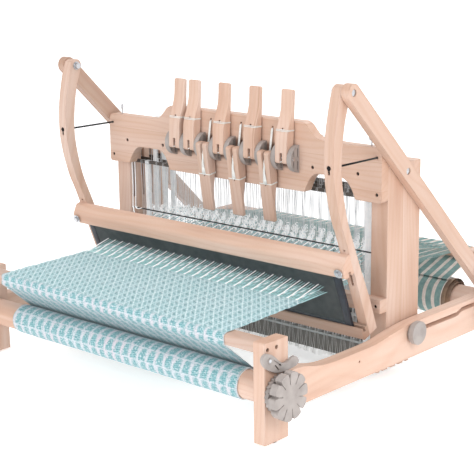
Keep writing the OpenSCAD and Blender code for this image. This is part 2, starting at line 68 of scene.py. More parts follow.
DOWN = {3, 5, 7}
PITCH = 38.9
SWING = 191.4
LEAN_UP = 3.0
SHAFT_Z = 28.0
LEVER = (-17.0, 397.0)
LIFT = 42.0
THREAD = 2.625
THREADS = 217
CLOTH_HW = 284.0
FELL = (-136.4, 178.0)
CLOTH_AXIS = (-313.6, 83.2)
ROLL_SHIFT = 22.0
WARP_AXIS = (326.0, 84.0)


def lever_x(i):
    return (i - 4.5) * PITCH


def shaft_y(i):
    return [33.5, 57.5, 81.5, 105.5][(i - 1) // 2] + (-2.35 if i % 2 else 2.35)


def raised(i):
    return LIFT if i in DOWN else 0.0


def thread_x(k, spread=1.0):
    return (k - (THREADS - 1) / 2) * THREAD * spread


# ---------------------------------------------------------------- meshes
class Batch:
    """Collects simple shapes in millimetres of the drawing into one mesh."""

    def __init__(self):
        self.v, self.f, self.m, self.n = [], [], [], 0

    def put(self, pts, faces, mat=0):
        self.v.append(np.asarray(pts, float))
        for face in faces:
            self.f.append([i + self.n for i in face])
            self.m.append(mat)
        self.n += len(pts)

    def tube(self, path, r, sides=6, mat=0, cap=True, squash=1.0, up=None):
        p = np.asarray(path, float)
        n = len(p)
        rad = np.full(n, r, float) if np.isscalar(r) else np.asarray(r, float)
        t = np.gradient(p, axis=0) if n > 2 else np.repeat([p[1] - p[0]], 2, axis=0)
        t /= np.linalg.norm(t, axis=1)[:, None] + 1e-12
        ref = np.array(up if up is not None else ([0, 0, 1.0] if abs(t[0][2]) < 0.9 else [1.0, 0, 0]))
        u = np.cross(ref, t[0])
        u /= np.linalg.norm(u)
        rings = []
        a = np.arange(sides) * 2 * math.pi / sides
        for i in range(n):
            u = u - t[i] * (u @ t[i])
            u /= np.linalg.norm(u) + 1e-12
            w = np.cross(t[i], u)
            rings.append(p[i] + rad[i] * (np.cos(a)[:, None] * u + squash * np.sin(a)[:, None] * w))
        faces = []
        for i in range(n - 1):
            for j in range(sides):
                k = (j + 1) % sides
                faces.append([i * sides + j, i * sides + k, (i + 1) * sides + k, (i + 1) * sides + j])
        if cap:
            faces.append(list(range(sides))[::-1])
            faces.append([(n - 1) * sides + j for j in range(sides)])
        self.put(np.concatenate(rings), faces, mat)

    def slab(self, lo, hi, mat=0, ease=0.0):
        """A box, with its long edges eased where ease is more than 0."""
        x0, y0, z0 = lo
        x1, y1, z1 = hi
        if not ease:
            pts = [(x, y, z) for x in (x0, x1) for y in (y0, y1) for z in (z0, z1)]
            self.put(pts, [[0, 1, 3, 2], [4, 6, 7, 5], [0, 4, 5, 1], [2, 3, 7, 6], [0, 2, 6, 4], [1, 5, 7, 3]], mat)
            return
        e = ease
        loop = [(y0 + e, z0), (y1 - e, z0), (y1, z0 + e), (y1, z1 - e), (y1 - e, z1), (y0 + e, z1), (y0, z1 - e), (y0, z0 + e)]
        cy, cz = (y0 + y1) / 2, (z0 + z1) / 2
        small = [(y + (e if y < cy else -e) * 0.9, z + (e if z < cz else -e) * 0.9) for y, z in loop]
        rings = [(x0, small), (x0 + e, loop), (x1 - e, loop), (x1, small)]
        pts = [(x, y, z) for x, ring in rings for y, z in ring]
        faces = [[a * 8 + j, a * 8 + (j + 1) % 8, (a + 1) * 8 + (j + 1) % 8, (a + 1) * 8 + j] for a in range(3) for j in range(8)]
        faces.append(list(range(8))[::-1])
        faces.append([24 + j for j in range(8)])
        self.put(pts, faces, mat)

    def extrude_x(self, outline, x0, x1, mat=0, ease=0.0):
        """A (y, z) outline along x, with its two ends drawn in by ease."""
        o = np.asarray(outline, float)
        n = len(o)
        c = o.mean(0)
        d = c - o
        small = o + d / (np.linalg.norm(d, axis=1)[:, None] + 1e-9) * ease * 1.2
        rings = [(x0, o), (x1, o)] if not ease else [(x0, small), (x0 + ease, o), (x1 - ease, o), (x1, small)]
        pts = np.concatenate([np.column_stack([np.full(n, x), r]) for x, r in rings])
        k = len(rings)
        faces = [[a * n + j, a * n + (j + 1) % n, (a + 1) * n + (j + 1) % n, (a + 1) * n + j] for a in range(k - 1) for j in range(n)]
        faces.append(list(range(n))[::-1])
        faces.append([(k - 1) * n + j for j in range(n)])
        self.put(pts, faces, mat)

    def make(self, name, mats, body=None, smooth=True, angle=None):
        v = np.concatenate(self.v)
        v = (v + np.array([-8.0, -22.05, 3.0])) / 1000
        me = bpy.data.meshes.new(name)
        me.from_pydata(v.tolist(), [], self.f)
        for m in mats if isinstance(mats, (list, tuple)) else [mats]:
            me.materials.append(m)
        me.polygons.foreach_set("material_index", self.m)
        me.polygons.foreach_set("use_smooth", [smooth] * len(self.f))
        me.validate()
        me.update()
        o = bpy.data.objects.new(name, me)
        bpy.context.scene.collection.objects.link(o)
        fix_normals(o)
        if angle:
            edge_split(o, angle)
        if body:
            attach(o, body)
        return o


def fix_normals(o):
    import bmesh

    bm = bmesh.new()
    bm.from_mesh(o.data)
    bmesh.ops.recalc_face_normals(bm, faces=bm.faces)
    bm.to_mesh(o.data)
    bm.free()


def edge_split(o, angle):
    """Edges sharper than angle degrees are kept sharp."""
    import bmesh

    bm = bmesh.new()
    bm.from_mesh(o.data)
    for e in bm.edges:
        if len(e.link_faces) == 2 and e.calc_face_angle(0.0) > math.radians(angle):
            e.smooth = False
    bm.to_mesh(o.data)
    bm.free()


def arc(c, r, a0, a1, n):
    return [(c[0] + r * math.cos(math.radians(a0 + (a1 - a0) * k / n)), c[1] + r * math.sin(math.radians(a0 + (a1 - a0) * k / n))) for k in range(n + 1)]


def resample(path, step):
    p = np.asarray(path, float)
    d = np.r_[0, np.cumsum(np.linalg.norm(np.diff(p, axis=0), axis=1))]
    n = max(2, int(round(d[-1] / step)) + 1)
    s = np.linspace(0, d[-1], n)
    return np.column_stack([np.interp(s, d, p[:, k]) for k in range(p.shape[1])]), s


# ---------------------------------------------------------------- materials
def lin(r, g, b):
    f = lambda c: c / 255 / 12.92 if c / 255 <= 0.04045 else ((c / 255 + 0.055) / 1.055) ** 2.4
    return (f(r), f(g), f(b), 1.0)


class Mat:
    def __init__(self, name):
        self.m = bpy.data.materials.new(name)
        self.m.use_nodes = True
        self.t = self.m.node_tree
        self.bsdf = next(n for n in self.t.nodes if n.type == "BSDF_PRINCIPLED")
        self.coord = self.t.nodes.new("ShaderNodeTexCoord")

    def link(self, a, b):
        self.t.links.new(a, b)

    def feed(self, socket, value):
        if isinstance(value, bpy.types.NodeSocket):
            self.link(value, socket)
        elif value is not None:
            socket.default_value = value

    def math(self, op, a, b=None, c=None, clamp=False):
        n = self.t.nodes.new("ShaderNodeMath")
        n.operation = op
        n.use_clamp = clamp
        self.feed(n.inputs[0], a)
        self.feed(n.inputs[1], b)
        self.feed(n.inputs[2], c)
        return n.outputs[0]

    def vec(self, op, a, b=None):
        n = self.t.nodes.new("ShaderNodeVectorMath")
        n.operation = op
        self.feed(n.inputs[0], a)
        self.feed(n.inputs[1], b)
        return n.outputs["Value"] if op in ("DOT_PRODUCT", "LENGTH", "DISTANCE") else n.outputs[0]

    def combine(self, x, y, z):
        n = self.t.nodes.new("ShaderNodeCombineXYZ")
        for s, v in zip(n.inputs, (x, y, z)):
            self.feed(s, v)
        return n.outputs[0]

    def separate(self, v):
        n = self.t.nodes.new("ShaderNodeSeparateXYZ")
        self.feed(n.inputs[0], v)
        return n.outputs

    def noise(self, v, scale=1.0, detail=2.0, rough=0.5, distort=0.0):
        n = self.t.nodes.new("ShaderNodeTexNoise")
        self.feed(n.inputs["Vector"], v)
        n.inputs["Scale"].default_value = scale
        n.inputs["Detail"].default_value = detail
        n.inputs["Roughness"].default_value = rough
        n.inputs["Distortion"].default_value = distort
        return n.outputs["Fac"]

    def white(self, v, dims="3D"):
        n = self.t.nodes.new("ShaderNodeTexWhiteNoise")
        n.noise_dimensions = dims
        self.feed(n.inputs["Vector"] if dims != "1D" else n.inputs["W"], v)
        return n.outputs["Value"]

    def mix(self, fac, a, b, blend="MIX"):
        n = self.t.nodes.new("ShaderNodeMix")
        n.data_type = "RGBA"
        n.blend_type = blend
        n.clamp_factor = True
        self.feed(n.inputs[0], fac)
        self.feed(n.inputs[6], a)
        self.feed(n.inputs[7], b)
        return n.outputs[2]

    def ramp(self, fac, stops, interpolation="LINEAR"):
        n = self.t.nodes.new("ShaderNodeValToRGB")
        n.color_ramp.interpolation = interpolation
        e = n.color_ramp.elements
        while len(e) < len(stops):
            e.new(0.5)
        for el, (p, c) in zip(e, stops):
            el.position = p
            el.color = c if len(c) == 4 else (*c, 1)
        self.feed(n.inputs[0], fac)
        return n.outputs[0]

    def map(self, v, a, b, c=0.0, d=1.0):
        n = self.t.nodes.new("ShaderNodeMapRange")
        self.feed(n.inputs[0], v)
        for s, x in zip(n.inputs[1:5], (a, b, c, d)):
            s.default_value = x
        return n.outputs[0]

    def bump(self, height, strength=0.2, distance=0.001, bevel=None):
        n = self.t.nodes.new("ShaderNodeBump")
        n.inputs["Strength"].default_value = strength
        n.inputs["Distance"].default_value = distance
        self.feed(n.inputs["Height"], height)
        if bevel:
            b = self.t.nodes.new("ShaderNodeBevel")
            b.samples = 4
            b.inputs["Radius"].default_value = bevel
            self.link(b.outputs[0], n.inputs["Normal"])
        self.link(n.outputs[0], self.bsdf.inputs["Normal"])

    def set(self, **kw):
        names = {"color": "Base Color", "rough": "Roughness", "metal": "Metallic", "spec": "Specular IOR Level",
                 "sheen": "Sheen Weight", "sheen_rough": "Sheen Roughness", "coat": "Coat Weight", "coat_rough": "Coat Roughness"}
        for k, v in kw.items():
            self.feed(self.bsdf.inputs[names[k]], v)
        return self


def perpendicular(g):
    g = Vector(g).normalized()
    h = Vector((1, 0, 0)) if abs(g.x) < 0.7 else Vector((0, 0, 1))
    h = (h - g * h.dot(g)).normalized()
    return g, h, g.cross(h)


WOOD_LIGHT = (220, 194, 180)
WOOD_MID = (212, 180, 161)
WOOD_DARK = (193, 154, 133)


def wood(name, grain, seed, tint=0.0, staves=None, streak=None, flat=None, shade=None):
    """Pale pinkish beech along grain. staves is a board width in metres across the board, streak a dark streak's place."""
    m = Mat(name)
    g, h, k = perpendicular(grain)
    if flat is not None:
        h = Vector(flat)
        k = g.cross(h)
    p = m.coord.outputs["Object"]
    r = random.Random(seed)
    off = [r.uniform(-3, 3) for _ in range(3)]
    a = m.math("ADD", m.vec("DOT_PRODUCT", p, tuple(g)), off[0])
    b = m.math("ADD", m.vec("DOT_PRODUCT", p, tuple(h)), off[1])
    c = m.math("ADD", m.vec("DOT_PRODUCT", p, tuple(k)), off[2])
    stave = None
    if staves:
        idx = m.math("FLOOR", m.math("DIVIDE", b, staves))
        stave = m.white(idx, "1D")
        a = m.math("ADD", a, m.math("MULTIPLY", stave, 3.7))
        c = m.math("ADD", c, m.math("MULTIPLY", stave, 0.61))
    # slow tone bands, growth rings that wander, pores and the short dark flecks of beech
    slow = m.noise(m.combine(m.math("MULTIPLY", a, 1.6), m.math("MULTIPLY", b, 16), m.math("MULTIPLY", c, 16)), 1, 3, 0.55, 0.4)
    wander = m.noise(m.combine(m.math("MULTIPLY", a, 2.2), m.math("MULTIPLY", b, 7), m.math("MULTIPLY", c, 7)), 1, 2, 0.5)
    ring = m.math("SINE", m.math("ADD", m.math("MULTIPLY", m.math("ADD", b, m.math("MULTIPLY", c, 0.45)), 640), m.math("MULTIPLY", wander, 46)))
    ring = m.math("MULTIPLY", m.math("ADD", ring, 1), 0.5)
    ring = m.math("POWER", ring, 3.0)
    fibre = m.noise(m.combine(m.math("MULTIPLY", a, 26), m.math("MULTIPLY", b, 900), m.math("MULTIPLY", c, 900)), 1, 3, 0.6)
    fleck = m.noise(m.combine(m.math("MULTIPLY", a, 230), m.math("MULTIPLY", b, 1500), m.math("MULTIPLY", c, 1500)), 1, 1, 0.5)
    fleck = m.map(fleck, 0.66, 0.74)
    t = 1.0 + tint
    cl = lambda q: tuple(min(1, x * t) for x in lin(*q)[:3]) + (1,)
    col = m.ramp(slow, [(0.28, cl(WOOD_DARK)), (0.46, cl(WOOD_MID)), (0.62, cl(WOOD_LIGHT)), (0.8, cl(WOOD_MID))])
    if stave is not None:
        col = m.mix(m.map(stave, 0, 1, 0, 0.42), col, cl((210, 174, 152)), "MIX")
        edge = m.math("ABSOLUTE", m.math("SUBTRACT", m.math("FRACT", m.math("DIVIDE", b, staves)), 0.5))
        col = m.mix(m.map(edge, 0.486, 0.497, 0, 0.42), col, lin(170, 122, 92))
    col = m.mix(m.math("MULTIPLY", ring, 0.30), col, cl((200, 157, 133)))
    col = m.mix(m.math("MULTIPLY", m.map(fibre, 0.35, 0.75), 0.16), col, cl((208, 171, 149)))
    col = m.mix(m.math("MULTIPLY", fleck, 0.30), col, lin(178, 128, 98))
    if streak is not None:
        s = m.math("ABSOLUTE", m.math("SUBTRACT", m.vec("DOT_PRODUCT", p, tuple(h)), streak))
        s = m.math("ADD", s, m.math("MULTIPLY", wander, 0.004))
        col = m.mix(m.map(s, 0.0016, 0.0052, 0.62, 0.0), col, lin(150, 96, 68))
    if shade:
        # painted shade: the front face between the brackets is darkened as if in their shadow
        (sx, sz, rx, rz) = shade
        q = m.separate(p)
        wx = m.map(m.math("ABSOLUTE", m.math("SUBTRACT", q[0], sx)), rx - 0.004, rx, 1.0, 0.0)
        wz = m.map(m.math("ABSOLUTE", m.math("SUBTRACT", q[2], sz)), rz - 0.007, rz, 1.0, 0.0)
        wy = m.map(q[1], -0.0205, -0.0190, 1.0, 0.0)
        col = m.mix(m.math("MULTIPLY", m.math("MULTIPLY", m.math("MULTIPLY", wx, wz), wy), 0.80), col, lin(92, 62, 50))
    # end grain drinks more oil and is darker
    end = m.math("ABSOLUTE", m.vec("DOT_PRODUCT", m.coord.outputs["Normal"], tuple(g)))
    col = m.mix(m.map(end, 0.72, 0.95, 0, 0.42), col, cl((196, 156, 132)))
    m.set(color=col, rough=m.map(fibre, 0.2, 0.8, 0.42, 0.58), spec=0.38)
    height = m.math("ADD", m.math("MULTIPLY", fibre, 0.5), m.math("MULTIPLY", fleck, -0.5))
    m.bump(height, 0.10, 0.0006, bevel=0.0013)
    return m.m


def plastic(name, base, dark, bevel=0.0012):
    m = Mat(name)
    p = m.coord.outputs["Object"]
    big = m.noise(p, 38, 3, 0.55)
    fine = m.noise(p, 1700, 2, 0.6)
    col = m.mix(m.map(big, 0.35, 0.7), lin(*base), lin(*dark))
    col = m.mix(m.map(fine, 0.6, 0.8, 0, 0.25), col, lin(*[min(255, x + 14) for x in base]))
    m.set(color=col, rough=m.map(big, 0.3, 0.7, 0.38, 0.52), spec=0.45)
    m.bump(fine, 0.10, 0.0004, bevel=bevel)
    return m.m


def metal(name, base, rough=0.3, scale=260, axis=None, metallic=1.0, bevel=0.0006):
    m = Mat(name)
    p = m.coord.outputs["Object"]
    if axis:
        p = m.vec("MULTIPLY", p, axis)
    n = m.noise(p, scale, 3, 0.6)
    dull = m.noise(m.coord.outputs["Object"], 60, 2, 0.5)
    col = m.mix(m.map(dull, 0.35, 0.7, 0, 0.6), lin(*base), lin(*[int(x * 0.84) for x in base]))
    m.set(color=col, metal=metallic, rough=m.map(n, 0.3, 0.7, rough - 0.07, rough + 0.10), spec=0.5)
    m.bump(n, 0.06, 0.0003, bevel=bevel)
    return m.m


def yarn(name, base, other, twist=900, rough=0.85, sheen=0.25, glow=0.0):
    """Fine spun yarn: strands wound along its length, a little fuzz and uneven dye."""
    m = Mat(name)
    p = m.coord.outputs["Object"]
    s = m.separate(p)
    strand = m.math("SINE", m.math("MULTIPLY", m.math("ADD", m.math("ADD", s[0], s[1]), m.math("MULTIPLY", s[2], 1.3)), twist * 6.283))
    slub = m.noise(p, 140, 2, 0.5)
    fuzz = m.noise(p, 2400, 1, 0.5)
    col = m.mix(m.map(slub, 0.3, 0.7), lin(*base), lin(*other))
    # painted shade: the grooves between the wound strands are darkened
    col = m.mix(m.map(strand, -1, 1, 0.22, 0), col, lin(*[int(x * 0.72) for x in other]))
    m.set(color=col, rough=rough, spec=0.2, sheen=sheen, sheen_rough=0.4)
    m.bump(m.math("ADD", strand, fuzz), 0.3, 0.0002)
    # painted light: a glow brightens the yarn where it lies in shade, standing in for light that comes through thin
    # white yarn
    m.bsdf.inputs["Emission Color"].default_value = (1, 1, 1, 1)
    m.bsdf.inputs["Emission Strength"].default_value = glow
    return m.m


TEAL = (158, 206, 208)
TEAL_2 = (124, 184, 188)


def cloth_material(name):
    """Teal scales with pale outlines. Each figure is eight warp ends wide. Seen flat, the pale slanting
    lines and thin columns stand out; where the cloth turns to face the weaver, the white ends do."""
    m = Mat(name)
    uv = m.t.nodes.new("ShaderNodeUVMap")
    uv.uv_map = "weave"
    s = m.separate(uv.outputs[0])
    # u and v are metres of cloth
    wob = m.noise(m.combine(m.math("MULTIPLY", s[0], 34), m.math("MULTIPLY", s[1], 34), 0), 1, 2, 0.5)
    wob = m.math("MULTIPLY", m.math("SUBTRACT", wob, 0.5), 0.16)
    p = m.math("FRACT", m.math("ADD", m.math("DIVIDE", s[0], 0.021), m.math("MULTIPLY", wob, 0.5)))
    q = m.math("FRACT", m.math("ADD", m.math("DIVIDE", s[1], -0.0243), wob))
    d = m.math("FRACT", m.math("ADD", q, p))

    def near(x, c, w):
        """1 on a line at c of a repeat, falling to 0 at w from it."""
        a = m.math("ABSOLUTE", m.math("SUBTRACT", m.math("FRACT", m.math("ADD", m.math("SUBTRACT", x, c), 0.5)), 0.5))
        return m.map(a, w * 0.35, w, 1.0, 0.0)

    line = near(d, 0.0, 0.10)
    faint = near(d, 0.5, 0.09)
    column = near(p, 0.0, 0.085)
    cross = near(m.math("ADD", m.math("MULTIPLY", q, 2.0), m.math("MULTIPLY", p, 0.3)), 0.1, 0.13)
    twill = near(m.math("ADD", m.math("DIVIDE", s[0], 0.0042), m.math("DIVIDE", s[1], 0.0052)), 0.0, 0.30)
    hollow = m.math("MULTIPLY", near(d, 0.72, 0.24), near(q, 0.32, 0.34))
    second = m.math("MULTIPLY", near(d, 0.26, 0.20), near(q, 0.80, 0.30))
    speck = m.noise(m.combine(m.math("MULTIPLY", s[0], 250), m.math("MULTIPLY", s[1], 290), 7.0), 1, 2, 0.7)
    dye = m.noise(m.combine(m.math("MULTIPLY", s[0], 420), m.math("MULTIPLY", s[1], 90), 0), 1, 3, 0.6)
    patch = m.noise(m.combine(m.math("MULTIPLY", s[0], 12), m.math("MULTIPLY", s[1], 16), 3.0), 1, 2, 0.5)
    flat = m.mix(m.map(dye, 0.3, 0.7), lin(150, 198, 204), lin(128, 182, 190))
    flat = m.mix(m.map(patch, 0.35, 0.7, 0, 0.35), flat, lin(184, 208, 218))
    flat = m.mix(m.math("MULTIPLY", twill, 0.30), flat, lin(188, 216, 222))
    flat = m.mix(m.math("MULTIPLY", hollow, 0.70), flat, lin(86, 138, 148))
    flat = m.mix(m.math("MULTIPLY", second, 0.50), flat, lin(104, 154, 162))
    flat = m.mix(m.math("MULTIPLY", cross, 0.35), flat, lin(214, 234, 238))
    flat = m.mix(m.math("MULTIPLY", column, 0.60), flat, lin(226, 242, 246))
    flat = m.mix(m.math("MULTIPLY", faint, 0.60), flat, lin(210, 234, 238))
    flat = m.mix(m.math("MULTIPLY", line, m.map(dye, 0.25, 0.75, 0.95, 0.45)), flat, lin(230, 246, 249))
    flat = m.mix(m.map(speck, 0.54, 0.66, 0.0, 0.70), flat, lin(242, 249, 251))
    flat = m.mix(m.map(speck, 0.46, 0.34, 0.0, 0.60), flat, lin(96, 152, 162))
    # facing the weaver: teal scales between white columns
    down = m.math("FRACT", m.math("ADD", m.math("DIVIDE", s[1], 0.0243), wob))
    lean = m.math("FRACT", m.math("ADD", p, m.math("MULTIPLY", down, 0.16)))
    away = m.math("ABSOLUTE", m.math("SUBTRACT", lean, 0.5))
    half = m.math("ADD", 0.22, m.math("MULTIPLY", m.math("POWER", down, 0.6), 0.17))
    rough = m.math("ADD", m.math("MULTIPLY", m.math("SUBTRACT", dye, 0.5), 0.45), m.math("MULTIPLY", m.math("SUBTRACT", speck, 0.5), 0.35))
    scale = m.map(m.math("SUBTRACT", half, m.math("ADD", away, rough)), -0.10, 0.10)
    tip = near(down, 0.02, 0.10)
    pick = near(m.math("ADD", m.math("DIVIDE", s[1], 0.0034), m.math("MULTIPLY", p, 1.6)), 0.5, 0.42)
    teal = m.mix(m.map(dye, 0.3, 0.7), lin(112, 174, 180), lin(66, 136, 146))
    teal = m.mix(m.math("MULTIPLY", pick, 0.50), teal, lin(186, 218, 222))
    teal = m.mix(m.math("MULTIPLY", tip, 0.60), teal, lin(220, 226, 232))
    teal = m.mix(m.map(speck, 0.54, 0.66, 0.0, 0.75), teal, lin(236, 236, 240))
    white = m.mix(m.map(dye, 0.3, 0.75), lin(234, 232, 236), lin(206, 214, 220))
    teal = m.mix(m.map(speck, 0.46, 0.34, 0.0, 0.5), teal, lin(44, 112, 124))
    white = m.mix(m.map(speck, 0.46, 0.36, 0.0, 0.55), white, lin(150, 178, 190))
    white = m.mix(m.math("MULTIPLY", pick, 0.40), white, lin(172, 192, 200))
    white = m.mix(m.map(patch, 0.4, 0.7, 0, 0.35), white, lin(232, 200, 210))
    front = m.mix(scale, white, teal)
    facing = m.map(s[1], 0.245, 0.262)
    col = m.mix(facing, flat, front)
    # the yarns themselves, round and a little uneven; painted shade darkens each yarn towards its edges, and the same
    # profile drives the bump
    eu, ev = m.math("DIVIDE", s[0], 0.0013125), m.math("DIVIDE", s[1], 0.00152)
    i, j = m.math("FLOOR", eu), m.math("FLOOR", ev)
    fu, fv = m.math("SUBTRACT", m.math("FRACT", eu), 0.5), m.math("SUBTRACT", m.math("FRACT", ev), 0.5)
    over = m.math("LESS_THAN", m.math("FLOORED_MODULO", m.math("ADD", i, j), 2.0), 0.5)
    ru = m.math("SUBTRACT", 1.0, m.math("MULTIPLY", m.math("MULTIPLY", fu, fu), 3.6))
    rv = m.math("SUBTRACT", 1.0, m.math("MULTIPLY", m.math("MULTIPLY", fv, fv), 3.6))
    rnd = m.math("ADD", m.math("MULTIPLY", ru, over), m.math("MULTIPLY", rv, m.math("SUBTRACT", 1.0, over)))
    col = m.mix(m.map(rnd, 0.1, 0.9, 0.30, 0.0), col, lin(96, 146, 152))
    # painted shade: the stretch that runs back below the beam is darkened as if in shadow
    under_beam_shade = m.math("MULTIPLY", m.map(s[1], 0.266, 0.300), m.map(s[1], 0.346, 0.356, 1.0, 0.0))
    col = m.mix(m.math("MULTIPLY", under_beam_shade, 0.45), col, lin(70, 104, 110))
    m.set(color=col, rough=0.86, spec=0.18, sheen=0.25, sheen_rough=0.5)
    fuzz = m.noise(m.combine(m.math("MULTIPLY", s[0], 2600), m.math("MULTIPLY", s[1], 2600), 0), 1, 1, 0.5)
    m.bump(m.math("ADD", rnd, m.math("MULTIPLY", fuzz, 0.25)), 0.6, 0.0005)
    return m.m


MAT = {
    "plastic": plastic("moulded_grey", (169, 161, 157), (151, 143, 139)),
    "zinc": metal("zinc_plate", (206, 208, 212), 0.28),
    # painted shade: a near-black screw colour standing in for the shade in screw holes
    "dark_screw": metal("dark_screw", (58, 46, 40), 0.45, metallic=0.7),
    "bar_dark": metal("shaft_bar_dark", (84, 79, 75), 0.5, 300, (0.02, 1, 1), 0.4),
    "bar_low": metal("shaft_bar_low", (104, 102, 98), 0.5, 300, (0.02, 1, 1), 0.4),
    "bar_grey": metal("shaft_bar_grey", (164, 168, 168), 0.4, 300, (0.02, 1, 1), 0.6),
    "dent": metal("reed_dent", (132, 140, 142), 0.42, 400, (1, 1, 0.05), 0.6, bevel=None),
    "band": plastic("reed_band", (44, 50, 60), (32, 36, 44), bevel=None),
    "rod": metal("heddle_rod_paint", (60, 62, 66), 0.4, metallic=0.5),
    "rubber": plastic("foot_rubber", (46, 46, 48), (34, 34, 36)),
    "elastic": yarn("black_elastic", (26, 26, 28), (16, 16, 18), 420, 0.7, 0.1),
    "cord": yarn("white_cord", (245, 245, 242), (226, 226, 222), 380),
    # painted light: the last number of a yarn is a glow that brightens heddle strings, loops, eyes, rod ties and the
    # front warp where they lie in shade
    "string": yarn("heddle_string", (236, 238, 240), (210, 214, 218), 700, 0.75, 0.25, 0.05),
    # painted shade: the loops below the lower bars get a greyer copy of the heddle string's colours
    "low": yarn("heddle_loops_shaded", (206, 206, 204), (166, 166, 164), 700, 0.8, 0.2, 0.12),
    "bunch": yarn("heddle_bunch", (250, 250, 250), (230, 234, 236), 700, 0.75, 0.25, 0.14),
    "eye": yarn("heddle_eye", (252, 252, 252), (240, 242, 244), 700, 0.75, 0.25, 0.30),
    "teal": yarn("warp_teal", TEAL, TEAL_2, 800, 0.85, 0.25, 0.11),
    # painted shade: the two rear warp yarns are darker copies of the front warp yarns, for the warp behind the heddles,
    # over the back beam and on the warp beam
    "shaded_rear_teal": yarn("warp_teal_rear_shaded", (150, 180, 178), (124, 158, 158), 800),
    "white": yarn("warp_white", (252, 251, 252), (242, 240, 242), 800, 0.85, 0.25, 0.24),
    "shaded_rear_white": yarn("warp_white_rear_shaded", (240, 232, 226), (222, 212, 204), 800),
    "cloth": cloth_material("figured_cloth"),
    # kraft paper's brown, darkened in part as painted shade for the shaded ends of the warp roll
    "paper": plastic("kraft_paper", (158, 132, 110), (116, 94, 78), bevel=None),
}


def give(node, material):
    o = nodes[node]
    o.data.materials.clear()
    o.data.materials.append(material)


# ---------------------------------------------------------------- camera, light and floor
def aim():
    az, el, roll = math.radians(42.075), math.radians(13.683), math.radians(-0.71)
    fwd = Vector((-math.sin(az) * math.cos(el), math.cos(az) * math.cos(el), -math.sin(el)))
    right = Vector((math.cos(az), math.sin(az), 0))
    up = right.cross(fwd)
    r2 = right * math.cos(roll) + up * math.sin(roll)
    u2 = -right * math.sin(roll) + up * math.cos(roll)
    cam = bpy.data.cameras.new("camera")
    cam.sensor_width = 36
    cam.lens = 1340.42 / 474 * 36
    cam.clip_start, cam.clip_end = 0.05, 50
    o = bpy.data.objects.new("camera", cam)
    m = Matrix.Identity(4)
    for k, col in enumerate((r2, u2, -fwd)):
        for row in range(3):
            m[row][k] = col[row]
    m.translation = L(1688.56, -1864.56, 836.85)
    o.matrix_world = m
    bpy.context.scene.collection.objects.link(o)
    bpy.context.scene.camera = o


def light(name, loc, target, size, power, color=(1, 1, 1)):
    d = bpy.data.lights.new(name, "AREA")
    d.shape = "RECTANGLE"
    d.size, d.size_y = size
    d.energy = power
    d.color = color
    o = bpy.data.objects.new(name, d)
    o.location = loc
    o.rotation_mode = "QUATERNION"
    o.rotation_quaternion = (Vector(target) - Vector(loc)).to_track_quat("-Z", "Y")
    bpy.context.scene.collection.objects.link(o)


def studio():
    w = bpy.data.worlds.new("studio")
    bpy.context.scene.world = w
    w.use_nodes = True
    bg = next(n for n in w.node_tree.nodes if n.type == "BACKGROUND")
    bg.inputs[0].default_value = (1.0, 1.0, 1.0, 1)
    bg.inputs[1].default_value = 0.54
    light("key", (3.0, -0.9, 2.2), (0, 0, 0.2), (1.2, 1.2), 45, (1, 0.985, 0.975))
    light("fill", (0.1, -3.1, 1.5), (0.1, 0, 0.3), (2.0, 1.4), 40, (0.985, 0.99, 1))
    light("top", (0.0, 0.3, 2.6), (0, 0, 0.1), (2.4, 2.4), 24)
    bpy.context.scene.view_settings.view_transform = "Standard"
    b = Batch()
    n = 24
    # one sheet that turns up far behind
    prof = [(-6000, -3.4), (2600, -3.4)] + [(2600 + 1500 * math.sin(a), -3.4 + 1500 * (1 - math.cos(a))) for a in np.linspace(0.1, math.pi / 2, n)] + [(4100, 5000)]
    pts, faces = [], []
    for x in (-7000, 7000):
        pts += [(x, y, z) for y, z in prof]
    k = len(prof)
    faces = [[j, j + 1, k + j + 1, k + j] for j in range(k - 1)]
    b.put(pts, faces)
    f = Mat("floor")
    nz = f.noise(f.coord.outputs["Object"], 3, 2, 0.5)
    f.set(color=f.mix(nz, (0.93, 0.93, 0.93, 1), (0.91, 0.91, 0.91, 1)), rough=0.8, spec=0.1)
    f.bsdf.inputs["Emission Color"].default_value = (1, 1, 1, 1)
    f.bsdf.inputs["Emission Strength"].default_value = 0.52
    floor = b.make("floor", f.m)


aim()
studio()


